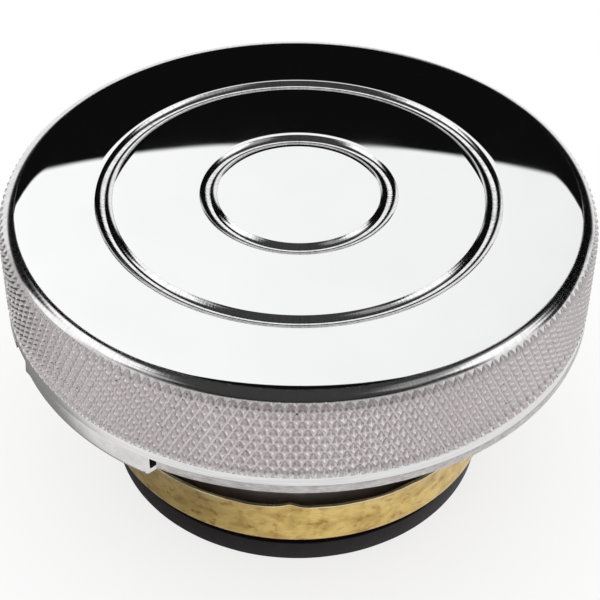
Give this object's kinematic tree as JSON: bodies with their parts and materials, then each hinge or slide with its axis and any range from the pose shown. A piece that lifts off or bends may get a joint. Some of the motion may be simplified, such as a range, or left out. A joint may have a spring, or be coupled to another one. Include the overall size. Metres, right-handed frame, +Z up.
{
  "type": "bayonet pressure filler cap",
  "caption": "Round knurled billet cap with a polished grooved face, over a bayonet locking shell and a sprung brass pressure valve with a rubber gasket.",
  "frame": {"origin": "centre of the pressure gasket's lower face, on the cap's axis", "axes": "+Z up the cap's axis towards the polished face; -Y towards the side seen from the front; the ears lie on the line 42.8 degrees from +X towards +Y"},
  "size_m": [0.07, 0.07, 0.0377],
  "materials": {
    "polished_aluminium": "mirror polished face, satin knurl",
    "plated_steel": "zinc plated, tumbled edges",
    "spring_steel": "oiled",
    "dark_steel": "dark satin",
    "brass": "drawn, stained",
    "rubber": "moulded matt"
  },
  "bodies": {
    "cap": {"cover": "polished_aluminium", "locking_shell": "plated_steel", "cover_screw_1": "plated_steel", "cover_screw_2": "plated_steel", "cover_screw_3": "plated_steel", "disc_spring": "spring_steel", "upper_seal": "rubber", "centre_rivet": "plated_steel"},
    "bell": {"spring_bell": "dark_steel", "spacer_washer": "plated_steel", "rivet_washer": "plated_steel", "pressure_spring": "spring_steel"},
    "valve": {"valve_cup": "brass", "pressure_gasket": "rubber", "valve_seat": "brass", "vacuum_spring": "spring_steel"},
    "vacuum": {"vacuum_valve": "brass", "vacuum_seal": "rubber", "vacuum_clip": "plated_steel"}
  },
  "joints": [
    {"name": "valve_swivel", "type": "hinge", "parent": "cap", "child": "bell", "pos_m": [0, 0, 0.0295], "axis": [0, 0, 1], "continuous": true},
    {"name": "valve_lift", "type": "slide", "parent": "bell", "child": "valve", "axis": [0, 0, 1], "range_m": [0, 0.004], "stiffness_N_per_m": 20000, "deforming": ["pressure_spring"]},
    {"name": "vacuum_open", "type": "slide", "parent": "valve", "child": "vacuum", "axis": [0, 0, -1], "range_m": [0, 0.002], "stiffness_N_per_m": 500, "deforming": ["vacuum_spring"]}
  ]
}
